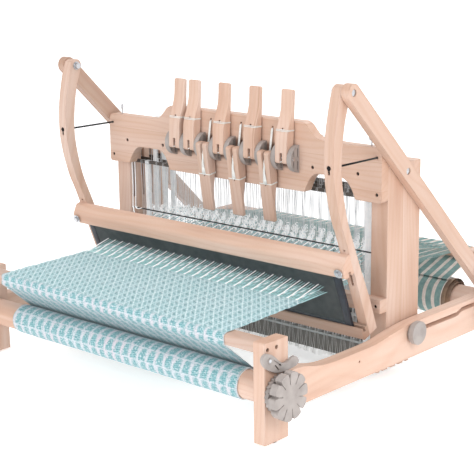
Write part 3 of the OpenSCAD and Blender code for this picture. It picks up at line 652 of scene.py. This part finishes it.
# ---------------------------------------------------------------- wood on the CAD boards
def wood_all():
    x, y, z = (1, 0, 0), (0, 1, 0), (0, 0, 1)
    plan = [
        ("left_side_rail", y, 0.0, None), ("right_side_rail", y, 0.05, None),
        ("left_front_post", z, -0.03, None), ("right_front_post", z, -0.04, None),
        ("left_back_post", z, 0.0, None), ("right_back_post", z, -0.02, None),
        ("breast_beam", x, -0.24, None), ("back_beam", x, -0.03, None),
        ("castle_left_side", z, -0.05, None), ("castle_right_side", z, -0.09, 0.05),
        ("castle_front_board", x, -0.07, 0.052), ("castle_back_board", x, -0.02, None),
        ("castle_front_rail", x, -0.05, None), ("castle_back_rail", x, -0.03, None),
        # painted shade, in part: the beater's bottom rail is darkened by its tint of -0.34, for the shade it lies in
        # below the reed
        ("beater_top_rail", x, 0.01, None), ("beater_bottom_rail", x, -0.34, None),
        ("cloth_beam", x, -0.03, None), ("warp_beam", x, -0.03, None),
    ]
    for i, (node, g, tint, staves) in enumerate(plan):
        flat = None
        if node == "castle_front_board":
            flat = (0, 0, 1)
        if node == "castle_right_side":
            flat = (0, 1, 0)
        give(node, wood("beech_" + node, g, 100 + i, tint, staves, flat=flat, shade=(-0.008, 0.4005, 0.158, 0.0245) if node == "castle_front_board" else None))
    brace = Vector((0, -474.5, 459.3))
    for s, n in (("left", 31), ("right", 32)):
        give(s + "_brace", wood("beech_" + s + "_brace", brace, n, -0.24 if s == "left" else -0.10))
        give(s + "_beater_arm", wood("beech_" + s + "_beater_arm", (0, 0.18, 1), n + 5, -0.12, flat=(1, 0, 0)))
    tints = [-0.06, -0.03, -0.11, -0.02, -0.08, -0.05, -0.10, -0.03]
    for i in range(1, 9):
        a = math.radians((SWING if i in DOWN else 0) - LEAN_UP)
        g = (0, -math.sin(a), math.cos(a))
        streak = (lever_x(i) - 8 + 10.0) / 1000 if i == 6 else None
        give("lever_%d" % i, wood("beech_lever_%d" % i, g, 60 + i, tints[i - 1], streak=streak, flat=(1, 0, 0)))


wood_all()
for n in ("lever_brackets", "cloth_hand_wheel", "warp_hand_wheel", "cloth_pawl", "warp_pawl", "left_clamp_knob", "right_clamp_knob"):
    give(n, MAT["plastic"])
for n in ("lever_axle", "brace_bolts", "beater_bolts", "eye_hooks"):
    give(n, MAT["zinc"])
give("heddle_rod", MAT["rod"])
give("foot_pads", MAT["rubber"])


def screw_material():
    m = Mat("screws_by_place")
    p = m.coord.outputs["Object"]
    s = m.separate(p)
    out = m.math("GREATER_THAN", m.math("ABSOLUTE", m.math("ADD", s[0], 0.008)), 0.3700)
    n = m.noise(p, 500, 2, 0.5)
    # painted shade: screws inside the castle are near black, standing in for the shade down in their holes; those
    # further out keep a plated steel colour
    col = m.mix(out, m.mix(n, lin(34, 26, 22), lin(20, 16, 14)), m.mix(n, lin(214, 216, 220), lin(188, 190, 196)))
    m.set(color=col, metal=m.map(out, 0.0, 1.0, 0.25, 0.9), rough=m.map(n, 0.3, 0.7, 0.30, 0.42))
    m.bump(n, 0.05, 0.0003, bevel=0.0005)
    return m.m


give("screws", screw_material())


# ---------------------------------------------------------------- reed
def reed():
    pitch = THREAD
    n = int(round(614 / pitch))
    dents = Batch()
    for k in range(-118, 118):
        x = (k + 0.5) * pitch
        if abs(x) > 306:
            continue
        a, b = bt(60, 8.2), bt(60, 13.8)
        c, d = bt(164, 13.8), bt(164, 8.2)
        t = 0.24
        pts = [(x + e, *q) for e in (-t, t) for q in (a, b, c, d)]
        dents.put(pts, [[0, 1, 2, 3], [4, 7, 6, 5], [0, 4, 5, 1], [1, 5, 6, 2], [2, 6, 7, 3], [3, 7, 4, 0]])
    o = dents.make("reed_dents", MAT["dent"], "beater", smooth=False)
    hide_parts("reed")
    frame_ = Batch()
    # half-round ribs front and back of the dents, top and bottom, bound with tape
    for s0, s1 in ((52, 63.5), (160.5, 172)):
        mid = (s0 + s1) / 2
        h = (s1 - s0) / 2
        out = [bt(mid + h * math.cos(a), 11 + 3.1 * math.sin(a)) for a in np.linspace(0, 2 * math.pi, 20, endpoint=False)]
        frame_.extrude_x(out, -318, 318, 0, 0.8)
    for x0, x1 in ((-321, -307.5), (307.5, 321)):
        out = [bt(50.2, 8.6), bt(50.2, 13.4), bt(52, 14), bt(172, 14), bt(174, 13.4), bt(174, 8.6), bt(172, 8), bt(52, 8)]
        frame_.extrude_x(out, x0, x1, 0, 0.8)
    o = frame_.make("reed_frame", MAT["band"], "beater", angle=40)


reed()


# ---------------------------------------------------------------- shafts and heddles
ROD_END = 310.0


def shaft(i):
    y = shaft_y(i)
    z0 = SHAFT_Z + raised(i)
    top = z0 + 311
    r = random.Random(500 + i)
    b = Batch()
    for s in (-1, 1):
        x0, x1 = sorted((s * 311.2, s * 323))
        b.slab((x0, y - 2.1, z0), (x1, y + 2.1, z0 + 230), 2, 0.8)
        # screws that hold the lower bar
        for zc in (z0 + 9, z0 + 24):
            b.tube([(s * 322.6, y, zc), (s * 323.4, y, zc)], 1.5, 10, 1)
    b.slab((-319.5, y - 1.5, z0 + 305), (319.5, y + 1.5, top), 0, 0.6)
    b.slab((-311.1, y - 1.0, z0 + 0.6), (311.1, y + 1.0, z0 + 31), 3, 0.4)
    b.slab((-311.1, y - 1.45, z0 + 31), (311.1, y + 1.45, z0 + 36), 1, 0.6)
    o = b.make("shaft_%d_frame" % i, [MAT["bar_dark"], MAT["bar_grey"], MAT["stick"], MAT["bar_low"]], "shaft_%d" % i, angle=40)
    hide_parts("shaft_%d" % i)
    h = Batch()
    eye = z0 + 159
    # the cords between the side sticks and the top bar, tied through the sticks
    for s in (-1, 1):
        x = s * 317
        h.tube([(x, y, z0 + 229.4), (x, y, top + 0.3)], 0.95, 6, 0)
        face = y - 2.9
        h.tube([(x, y, z0 + 231), (x, face + 0.4, z0 + 230.4), (x, face, z0 + 227), (x + s * 0.4, face, z0 + 218)], 0.8, 6, 0)
        j = [(x + s * 0.4, face, z0 + 218), (x + s * 2.4, face - 0.3, z0 + 213.5), (x + s * 1.0, face - 0.6, z0 + 210), (x - s * 2.4, face - 0.5, z0 + 211.5), (x - s * 3.0, face - 0.2, z0 + 216)]
        h.tube(j, 0.8, 6, 0)
        h.tube([(x + s * 0.4, face, z0 + 220), (x + s * 0.4, face - 0.2, z0 + 217.8), (x + s * 0.4, face, z0 + 215.6)], [0.8, 1.7, 0.8], 6)
        h.tube([(x, y - 2.2, top + 0.4), (x, y - 2.2, z0 + 304.5), (x, y + 2.2, z0 + 304.5), (x, y + 2.2, top + 0.4), (x, y - 2.2, top + 0.4)], 0.8, 6, 0)
    xs = [(thread_x(k), True) for k in range(THREADS) if k % 8 == i - 1]
    xs += [(288.4 + 1.6 * q + r.uniform(-0.3, 0.3), False) for q in range(13)]
    xs += [(-(265.0 + 1.25 * q + r.uniform(-0.3, 0.3)), False) for q in range(8)]
    for x, used in xs:
        dx = 0.0 if used else r.uniform(-1.0, 1.0)
        lean = r.uniform(-1.1, 1.1) if used else r.uniform(-0.6, 0.6)
        turn = r.uniform(-0.9, 0.9)
        cx, cy = math.cos(turn), math.sin(turn)
        tx, bx = x + lean, x + r.uniform(-0.8, 0.8)
        up, lo = eye + 7 + r.uniform(-0.6, 0.6), eye - 7
        w = 0.40 if used else 0.56
        drop = z0 - r.uniform(0.9, 10.5)
        hang = r.uniform(-4.5, 4.5)
        # loops round the two bars
        gap = r.uniform(1.6, 2.8) if used else 0.5
        for e in (-gap, gap):
            h.tube([(tx + e * 0.7, y - 1.9, z0 + 303.5), (tx + e * 0.7, y - 1.92, top + 0.5), (tx + e * 0.7, y + 1.92, top + 0.5), (tx + e * 0.7, y + 1.9, z0 + 303.5)], w, 4, 0, True, 1, (1, 0, 0))
        for e in (-gap, gap) + ((-gap - 2.4, gap + 2.6) if used else ()):
            h.tube([(bx + e * 0.7, y - 1.85, z0 + 37), (bx + e * 2, y - 1.6, z0 + 2), (bx + e * 2 + hang * 0.6, y - 1.2, drop), (bx + e * 2 + hang, y, drop - 1.2),
                    (bx + e * 2 + hang * 0.8 + 0.6, y + 1.2, drop), (bx + e * 2 + 0.2, y + 1.6, z0 + 2), (bx + e * 0.7, y + 1.85, z0 + 37)], w, 4, 3, True, 1, (1, 0, 0))
        if used:
            for e in (-gap - 2.4, gap + 2.6):
                h.tube([(bx + e * 0.7, y - 1.85, z0 + 36.8), (bx + e * 0.35, y - 1.2, z0 + 60), (x, y, lo - 6)], 0.42, 4, 0, False)
        for sgn in (-1, 1):
            h.tube([(tx + sgn * gap * 0.7, y + sgn * 1.9, z0 + 303.7), (x + dx + sgn * 0.4, y + sgn * 0.3, up)], w, 4, 0 if used else 2, False)
            h.tube([(bx + sgn * gap * 0.7, y + sgn * 1.85, z0 + 36.8), (x - dx * 0.3 + sgn * 0.4, y + sgn * 0.3, lo)], w, 4, 0 if used else 2, False)
            wide = 3.6 if used else 1.3
            h.tube([(x + dx, y, up + 0.6), (x + dx * 0.6 + sgn * wide * 0.8 * cx, y + sgn * wide * cy * 0.34, eye + 4.2), (x + dx * 0.6 + sgn * wide * cx, y + sgn * wide * cy * 0.36, eye + 1.4),
                    (x + sgn * wide * 0.8 * cx, y + sgn * wide * cy * 0.32, eye - 3.2), (x, y, lo - 0.6)], 1.05 if used else 0.62, 5, 1 if used else 2, False)
        if used and raised(i):
            # the slack of the raised strings stands round their eyes in small loops
            for q in range(6):
                a0 = r.uniform(0, 6.28)
                c = (x + r.uniform(-5, 5), y + r.uniform(-0.4, 0.4), eye + r.uniform(-2, 14))
                ra, rb = r.uniform(2.2, 4.2), r.uniform(2.5, 5.0)
                h.tube([(c[0] + ra * math.cos(a0 + a), c[1] + 0.9 * math.sin(a0 * 3 + a), c[2] + rb * math.sin(a0 + a)) for a in np.linspace(0, r.uniform(3.6, 5.8), 8)], 0.72, 4, 1)
        for zz in (up + 0.3, lo - 0.3):
            e = x + (dx if zz > eye else 0)
            h.tube([(e, y, zz - 1.4), (e, y, zz), (e, y, zz + 1.4)], [0.6, 1.5, 0.6], 5, 1 if used else 2)
    o = h.make("shaft_%d_heddles" % i, [MAT["string"], MAT["eye"], MAT["bunch"], MAT["low"]], "shaft_%d" % i)


MAT["stick"] = wood("beech_shaft_sticks", (0, 0, 1), 210, -0.02)
for i in range(1, 9):
    shaft(i)


# ---------------------------------------------------------------- warp threads
def warp():
    last = (372.0, 173.9)
    for i in range(1, 9):
        y = shaft_y(i)
        ze = SHAFT_Z + raised(i) + 159
        front, back = Batch(), Batch()
        for k in range(THREADS):
            if k % 8 != i - 1:
                continue
            mat = 0 if k % 8 in (1, 2) else 1
            x = thread_x(k)
            xf = x * 281.5 / 283.5
            front.tube([(xf, FELL[0] + 0.6, FELL[1] + 0.1), (x, y, ze)], 0.95 if mat == 0 and raised(i) else 0.78, 6, mat, False)
            back.tube([(x, y, ze), (x, last[0], last[1])], 0.72, 5, mat, False)
        o = front.make("warp_front_%d" % i, [MAT["white"], MAT["teal"]])
        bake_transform(o)
        o = back.make("warp_back_%d" % i, [MAT["shaded_rear_white"], MAT["shaded_rear_teal"]])
        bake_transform(o)
    # over the back beam and down to the warp beam
    path = [last] + arc((399.5, 168.5), 4.5, 88, 0, 6) + arc((399.5, 156.0), 4.5, 0, -65, 5) + [(310.2, 122.2)]
    b = Batch()
    for k in range(THREADS):
        x = thread_x(k)
        b.tube([(x, py, pz) for py, pz in path], [0.72] * 4 + [0.9] * (len(path) - 5) + [1.25], 6, 0 if k % 8 < 3 else 1, False, 1, (1, 0, 0))
    o = b.make("warp_over_back_beam", [MAT["shaded_rear_white"], MAT["shaded_rear_teal"]], "root")
    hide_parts("warp")


warp()


# ---------------------------------------------------------------- woven cloth
def cloth():
    path = [(-136.4, 177.9), (-180, 176.85), (-240, 175.55), (-312, 174.25), (-338.7, 173.25), (-342.0, 172.5), (-344.0, 171.1), (-344.6, 169),
            (-344.75, 155.5), (-344.4, 153.6), (-342.9, 151.7), (-340.3, 150.1), (-293.4, 103.5)]
    line, s = resample(path, 2.6)
    tan = np.gradient(line, axis=0)
    tan /= np.linalg.norm(tan, axis=1)[:, None]
    nor = np.column_stack([-tan[:, 1], tan[:, 0]])
    nor *= -1
    nx = 228
    u = np.linspace(-1, 1, nx)
    hw = np.interp(s, [0, 60, 207], [282.0, 283.5, 285.0])
    pts, uvs = [], []
    wave = nrng.normal(size=(8, 5))
    for a in range(len(line)):
        for b in range(nx):
            # below the beam the cloth runs a little to one side, to where it is wound
            x = u[b] * hw[a] + ROLL_SHIFT * max(0.0, min(1.0, (s[a] - 226) / (s[-1] - 226)))
            edge = max(0, abs(u[b]) - 0.97) / 0.03
            lift = 0.35 * math.sin(x / 37 + s[a] / 55) + 0.25 * math.sin(x / 17 - s[a] / 29)
            lift *= min(1, s[a] / 20) * max(0, min(1, (172 - s[a]) / 15))
            lift += edge * 0.4 * math.sin(s[a] / 7.0) * (1 if s[a] < 165 else 0)
            dy = 0.7 * math.sin(x / 23) + 0.5 * math.sin(x / 9.1) if a == 0 else 0
            xx = x + edge * 0.6 * math.sin(s[a] / 2.9) * (1 if u[b] > 0 else -1)
            pts.append((xx, line[a][0] + nor[a][0] * lift + dy * 0.5, line[a][1] + nor[a][1] * lift))
            uvs.append(((u[b] * hw[a] + 300) / 1000, s[a] / 1000 + 0.05))
    faces = [[a * nx + b, a * nx + b + 1, (a + 1) * nx + b + 1, (a + 1) * nx + b] for a in range(len(line) - 1) for b in range(nx - 1)]
    bt_ = Batch()
    bt_.put(pts, faces)
    o = bt_.make("cloth_stretched", MAT["cloth"])
    put_uv(o, uvs)
    mod = o.modifiers.new("thickness", "SOLIDIFY")
    mod.thickness = 0.0010
    mod.offset = 0.0
    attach(o, "root")
    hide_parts("woven_cloth")
    return float(s[-1])


def put_uv(o, uvs):
    layer = o.data.uv_layers.new(name="weave")
    idx = np.zeros(len(o.data.loops), int)
    o.data.loops.foreach_get("vertex_index", idx)
    layer.data.foreach_set("uv", np.asarray(uvs, float)[idx].ravel())


def cloth_roll(run):
    """Layers of cloth wound on the beam, a little uneven at their ends."""
    cy, cz = CLOTH_AXIS
    n, nx = 120, 228
    turns = 1.12
    a0 = math.radians(45)
    rows = int(n * turns)
    pts, uvs = [], []
    r1 = 27.15
    for a in range(rows + 1):
        t = a / n
        ang = a0 + t * 2 * math.pi
        r = r1 - 1.05 * t
        for b in range(nx):
            u = -1 + 2 * b / (nx - 1)
            hw = 285.5 + 0.8 * math.sin(ang * 2.3) + 0.5 * math.sin(ang * 5.1)
            x = u * hw
            edge = max(0, abs(u) - 0.985) / 0.015
            rr = r + 0.18 * math.sin(x / 31 + ang * 2) + 0.12 * math.sin(x / 12.7 - ang * 3) - edge * 0.4
            pts.append((x + ROLL_SHIFT, cy + rr * math.cos(ang), cz + rr * math.sin(ang)))
            uvs.append(((x + 300) / 1000, (run + r1 * t * 2 * math.pi) / 1000 + 0.05))
    faces = [[a * nx + b, (a + 1) * nx + b, (a + 1) * nx + b + 1, a * nx + b + 1] for a in range(rows) for b in range(nx - 1)]
    b_ = Batch()
    b_.put(pts, faces)
    o = b_.make("cloth_wound", MAT["cloth"])
    put_uv(o, uvs)
    mod = o.modifiers.new("thickness", "SOLIDIFY")
    mod.thickness = 0.0009
    mod.offset = 0.0
    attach(o, "cloth_beam")
    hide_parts("cloth_roll")
    # edges of the inner layers at each end
    e = Batch()
    for s in (-1, 1):
        for q in range(2):
            r = 25.9 - q * 0.7
            x1 = s * (285.0 - 0.4 * q + 0.8 * math.sin(q * 2.1)) + ROLL_SHIFT
            ring = [(x1 - s * 1.0, cy + r * math.cos(a), cz + r * math.sin(a)) for a in np.linspace(0, 2 * math.pi, 73)]
            e.tube(ring, 0.62, 5, 0 if q % 2 else 1, False, 1, (1, 0, 0))
    o = e.make("cloth_wound_edges", [MAT["white"], MAT["teal"]], "cloth_beam")


run = cloth()
cloth_roll(run)


def warp_roll():
    cy, cz = WARP_AXIS
    n = 72
    pts, mats = [], []
    xs = []
    for k in range(THREADS):
        x = thread_x(k)
        mat = 0 if k % 8 < 3 else 1
        xs += [(x - 1.3, 38.2, mat), (x - 0.62, 39.0, mat), (x + 0.62, 39.0, mat)]
    xs.append((thread_x(THREADS - 1) + 1.3, 38.2, 0))
    xs = [(xs[0][0] - 0.05, 29.0, 0)] + xs + [(xs[-1][0] + 0.05, 29.0, 0)]
    for x, r, _ in xs:
        for a in range(n):
            t = 2 * math.pi * a / n
            pts.append((x, cy + r * math.cos(t), cz + r * math.sin(t)))
    b = Batch()
    m = len(xs)
    faces = [[i * n + a, i * n + (a + 1) % n, (i + 1) * n + (a + 1) % n, (i + 1) * n + a] for i in range(m - 1) for a in range(n)]
    b.put(pts, faces)
    b.m = [xs[i][2] for i in range(m - 1) for a in range(n)]
    o = b.make("warp_wound", [MAT["shaded_rear_white"], MAT["shaded_rear_teal"]], "warp_beam")
    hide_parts("warp_roll")
    # paper wound in between the layers stands out at both ends
    p = Batch()
    for s in (-1, 1):
        for q, r in enumerate((30.0, 32.2, 34.3, 36.6, 38.4)):
            x1 = s * (300 - 1.7 * q + 2.2 * math.sin(q * 1.7))
            ring = []
            na = 64
            for xx in (s * 284.0, s * 294.0, x1):
                for a in range(na):
                    t = 2 * math.pi * a / na
                    rr = r + (0.35 * math.sin(3 * t + q) if abs(xx) > 290 else 0)
                    ring.append((xx, cy + rr * math.cos(t), cz + rr * math.sin(t)))
            p.put(ring, [[i * na + a, i * na + (a + 1) % na, (i + 1) * na + (a + 1) % na, (i + 1) * na + a] for i in range(2) for a in range(na)])
    o = p.make("warp_paper", MAT["paper"])
    mod = o.modifiers.new("thickness", "SOLIDIFY")
    mod.thickness = 0.0004
    mod.offset = 0.0
    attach(o, "warp_beam")


warp_roll()


# ---------------------------------------------------------------- cords
def lever_point(i, y, z):
    """A point of lever i, given on the upright lever with its pivot at zero, where it is at rest."""
    a = math.radians((SWING if i in DOWN else 0) - LEAN_UP)
    return (LEVER[0] + y * math.cos(a) - z * math.sin(a), LEVER[1] + y * math.sin(a) + z * math.cos(a))


def flat_cord(b, path, w, t):
    """A flat braid along a path of points, as wide as w along x and t thick."""
    p = np.asarray(path, float)
    tan = np.gradient(p, axis=0)
    tan /= np.linalg.norm(tan, axis=1)[:, None]
    side = np.array([1.0, 0, 0])
    ws = np.full(len(p), w, float) if np.isscalar(w) else np.asarray(w, float)
    pts = []
    for i in range(len(p)):
        n = np.cross(side, tan[i])
        n /= np.linalg.norm(n)
        h = ws[i] / 2
        for a, c in ((-1, 0.25), (-0.6, 0.5), (0.6, 0.5), (1, 0.25), (1, -0.25), (0.6, -0.5), (-0.6, -0.5), (-1, -0.25)):
            pts.append(p[i] + side * a * h + n * c * t)
    k = len(p)
    faces = [[i * 8 + j, i * 8 + (j + 1) % 8, (i + 1) * 8 + (j + 1) % 8, (i + 1) * 8 + j] for i in range(k - 1) for j in range(8)]
    faces += [list(range(8))[::-1], [(k - 1) * 8 + j for j in range(8)]]
    b.put(pts, faces)


def lever_cords():
    root = Batch()
    for i in range(1, 9):
        x = lever_x(i)
        b = Batch()
        # the tie: two turns round the lever and a knot
        w, t = 27.5 / 2 + 0.6, 9.2
        for dz, sl in ((50.4, 0.5), (51.9, -0.4)):
            loop = []
            for a in np.linspace(0, 2 * math.pi, 41):
                cx = math.copysign(abs(math.cos(a)) ** 0.13, math.cos(a)) * w
                cyy = math.copysign(abs(math.sin(a)) ** 0.13, math.sin(a)) * t
                py, pz = lever_point(i, 3.4 + cyy, dz + sl * math.sin(a))
                loop.append((x + cx, py, pz))
            b.tube(loop, 0.66, 6, 0, False)
        face = [(-7.0, -7.0), (1.5, -5.2), (6.0, 3.0), (9.4, 11.0), (10.4, 18.0), (12.2, 25.0), (12.9, 31.0), (12.9, 44.0), (12.7, 50.6)]
        pts = [(x, *lever_point(i, yy, zz)) for yy, zz in face]
        flat_cord(b, pts, [3.6, 3.6, 3.6, 3.6, 3.8, 4.2, 5.2, 8.2, 9.5], 0.9)
        kp = lever_point(i, 13.2, 51.2)
        b.tube([(x - 2.6, *kp), (x, kp[0], kp[1]), (x + 2.6, *kp)], [0.7, 1.6, 0.7], 6)
        o = b.make("lever_%d_cord" % i, MAT["cord"], "lever_%d" % i)
        # from the hole in the board to the lever's pivot end
        root.tube([(x, 20.5, 447.0), (x, 8, 446.8), (x, 1.0, 446.5), (x, -0.6, 445.7)], [0.9, 0.9, 0.9, 1.1], 8)
        if i in DOWN:
            path = [(x, -0.8, 445.8), (x, -1.6, 443.8), (x, -2.3, 440.5), (x, -5.2, 422), (x, -8.5, 402)]
            flat_cord(root, path, [4.4, 4.9, 5.0, 4.8, 4.4], 0.9)
        else:
            path = [(x, -0.7, 445.8), (x, -1.1, 441), (x, -2.0, 425), (x, -3.2, 412), (x, -6.3, 404.5), (x, -8.5, 402)]
            flat_cord(root, path, [4.4, 4.9, 4.9, 4.8, 4.6, 4.4], 0.8)
    o = root.make("lever_cords_at_board", MAT["cord"], "root")
    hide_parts("lever_cords")


lever_cords()


def lift_cords():
    root = Batch()
    for i in range(1, 9):
        y = shaft_y(i)
        x = lever_x(i)
        b = Batch()
        top = SHAFT_Z + raised(i) + 311
        for s in (-1, 1):
            turn_at = (s * 302, 24 + 1.1 * i, 424)
            root.tube([(x, 20.2, 448.2), (x, 21.6, 448.3), (x + s * 1.5, 21.7, 448.2), turn_at, (s * 317, y, 402), (s * 317, y, 400.5)], 0.75, 6)
            b.tube([(s * 317, y, 401), (s * 317, y, top + 1.5)], 0.85, 6)
        o = b.make("lift_cord_%d" % i, MAT["cord"])
        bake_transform(o)
    o = root.make("lift_cords_across", MAT["cord"], "root")
    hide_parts("lift_cords")


lift_cords()


def rod_ties():
    """Two doubled cords behind the board from which the steel rod's left end hangs, one with a free tail."""
    b = Batch()
    y, z = 24.2, 238.0
    for x, tail in ((-ROD_END + 3.0, True), (-ROD_END + 11.5, False)):
        b.tube([(x - 0.8, y - 0.2, 392), (x - 0.5, y, 330), (x + 0.3, y - 0.3, 280), (x + 0.4, y - 1.6, z + 5), (x + 0.8, y - 2.3, z), (x + 1.2, y - 0.6, z - 2.3), (x + 1.6, y + 1.8, z - 1.2), (x + 1.8, y + 1.4, z + 1.6)], 0.9, 6)
        if tail:
            b.tube([(x + 1.4, y - 1.8, z + 1.0), (x + 2.6, y - 2.4, z - 5), (x + 7, y - 3.2, z - 15), (x + 12.5, y - 3.6, z - 27)], [1.1, 1.1, 1.0, 0.9], 6)
        else:
            b.tube([(x + 1.2, y - 1.9, z + 3), (x + 4.0, y - 2.6, z - 0.6), (x + 9.5, y - 2.7, z - 1.6), (x + 15, y - 2.5, z + 0.6), (x + 19.5, y - 2.2, z + 1.8)], 0.85, 6)
        b.tube([(x + 0.9, y - 2.2, z + 3.2), (x + 1.0, y - 2.5, z + 1.4), (x + 1.2, y - 2.3, z - 0.6)], [0.8, 1.7, 0.8], 6)
    o = b.make("rod_ties", MAT["eye"], "root")


rod_ties()


def elastic():
    for s, side in ((-1, "left"), (1, "right")):
        x = s * 335
        b = Batch()
        b.tube([(x, -133.5, 418.2), (x, 6, 417.3)], 1.75, 10)
        o = b.make(side + "_elastic_cord", MAT["elastic"])
        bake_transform(o)
        if s < 0:
            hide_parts("elastic_cords")
        k = Batch()
        k.tube([(x - 3.4, -132.6, 421.4), (x - 1.2, -134.6, 419.4), (x + 0.6, -134.4, 416.6), (x + 3.0, -132.8, 415.4)], [1.7, 3.3, 3.2, 1.6], 12)
        k.tube([(x + 2.4, -132.8, 421.2), (x, -134.0, 418.4), (x - 2.8, -132.6, 415.8)], [1.5, 3.6, 1.6], 12)
        k.tube([(x + 0.6, -134.2, 415.0), (x + 0.8, -134.9, 411.6), (x + 0.4, -134.6, 409.4)], [1.2, 1.6, 1.0], 8)
        o = k.make(side + "_elastic_knot", MAT["elastic"], "beater")


elastic()
